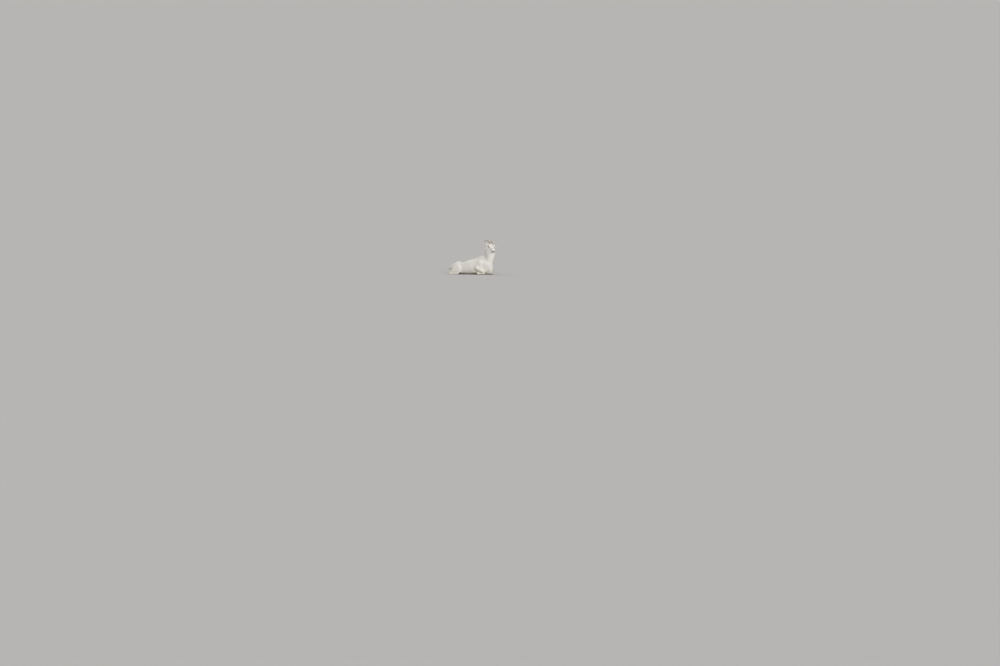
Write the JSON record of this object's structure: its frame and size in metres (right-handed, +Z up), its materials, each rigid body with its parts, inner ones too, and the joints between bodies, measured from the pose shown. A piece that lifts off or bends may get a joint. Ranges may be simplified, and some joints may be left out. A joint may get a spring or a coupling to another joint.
{
  "type": "bedded white mountain sheep ewe figure",
  "caption": "Still, life-size white mountain sheep ewe lying on its breastbone with folded legs, neck up and face turned to its right.",
  "frame": {"origin": "on the floor, under the middle of the outline's box", "axes": "+X towards the head end along the body, +Y towards the animal's left flank, +Z up"},
  "size_m": [1.2046, 0.4356, 0.8244],
  "materials": {
    "coat": "dense white hair, slightly warm",
    "horn": "ringed, amber-brown, satin",
    "eye": "wet, amber iris with a level pupil",
    "hoof": "dark, lightly worn"
  },
  "bodies": {
    "root": {"head": "coat", "neck": "coat", "trunk_front": "coat", "trunk_rear": "coat", "tail": "coat", "fore_leg_upper_right": "coat", "fore_leg_lower_right": "coat", "hind_leg_upper_right": "coat", "hind_leg_lower_right": "coat", "fore_leg_upper_left": "coat", "fore_leg_lower_left": "coat", "hind_leg_upper_left": "coat", "hind_leg_lower_left": "coat", "ear_right": "coat", "ear_left": "coat", "horn_right": "horn", "horn_left": "horn", "eye_right": "eye", "eye_left": "eye", "fore_hoof_right": "hoof", "hind_hoof_right": "hoof", "fore_hoof_left": "hoof", "hind_hoof_left": "hoof"}
  },
  "joints": []
}
